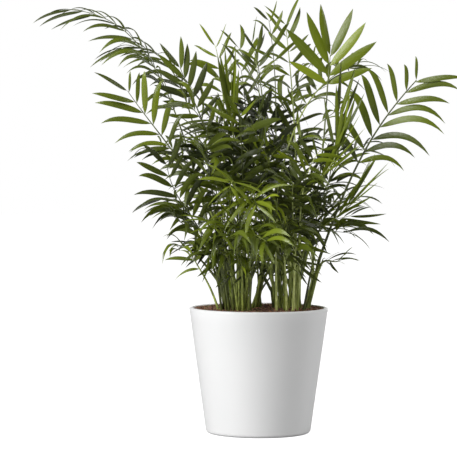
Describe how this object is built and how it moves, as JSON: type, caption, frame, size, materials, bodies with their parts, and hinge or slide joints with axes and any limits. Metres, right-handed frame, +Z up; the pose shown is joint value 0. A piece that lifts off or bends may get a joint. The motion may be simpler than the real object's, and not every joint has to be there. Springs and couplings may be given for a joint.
{
  "type": "parlour palm in pot",
  "caption": "Bushy parlour palm: slender canes and arching feather fronds rising from soil in a round tapered glazed pot.",
  "frame": {"origin": "centre of the pot's flat underside", "axes": "+Z up along the pot's axis; the front of the plant faces -Y, +X to the viewer's right"},
  "size_m": [0.5797, 0.46, 0.6011],
  "materials": {
    "glaze": "satin",
    "soil": "matte",
    "cane": "satin",
    "frond": "satin"
  },
  "bodies": {
    "root": {"pot": "glaze", "soil": "soil", "cane_01": "cane", "cane_02": "cane", "cane_03": "cane", "cane_04": "cane", "cane_05": "cane", "cane_06": "cane", "cane_07": "cane", "cane_08": "cane", "cane_09": "cane", "cane_10": "cane", "cane_11": "cane", "cane_12": "cane", "cane_13": "cane", "frond_01": "frond", "frond_02": "frond", "frond_03": "frond", "frond_04": "frond", "frond_05": "frond", "frond_06": "frond", "frond_07": "frond", "frond_08": "frond", "frond_09": "frond", "frond_10": "frond", "frond_11": "frond", "frond_12": "frond", "frond_13": "frond", "frond_14": "frond", "frond_15": "frond", "frond_16": "frond", "frond_17": "frond", "frond_18": "frond", "frond_19": "frond", "frond_20": "frond", "frond_21": "frond", "frond_22": "frond", "frond_23": "frond", "frond_24": "frond", "frond_25": "frond", "frond_26": "frond", "frond_27": "frond", "frond_28": "frond", "frond_29": "frond", "frond_30": "frond", "frond_31": "frond", "frond_32": "frond", "frond_33": "frond", "frond_34": "frond", "frond_35": "frond", "frond_36": "frond", "frond_37": "frond", "frond_38": "frond", "frond_39": "frond", "frond_40": "frond", "frond_41": "frond", "frond_42": "frond", "frond_43": "frond", "frond_44": "frond", "frond_45": "frond"}
  },
  "joints": []
}
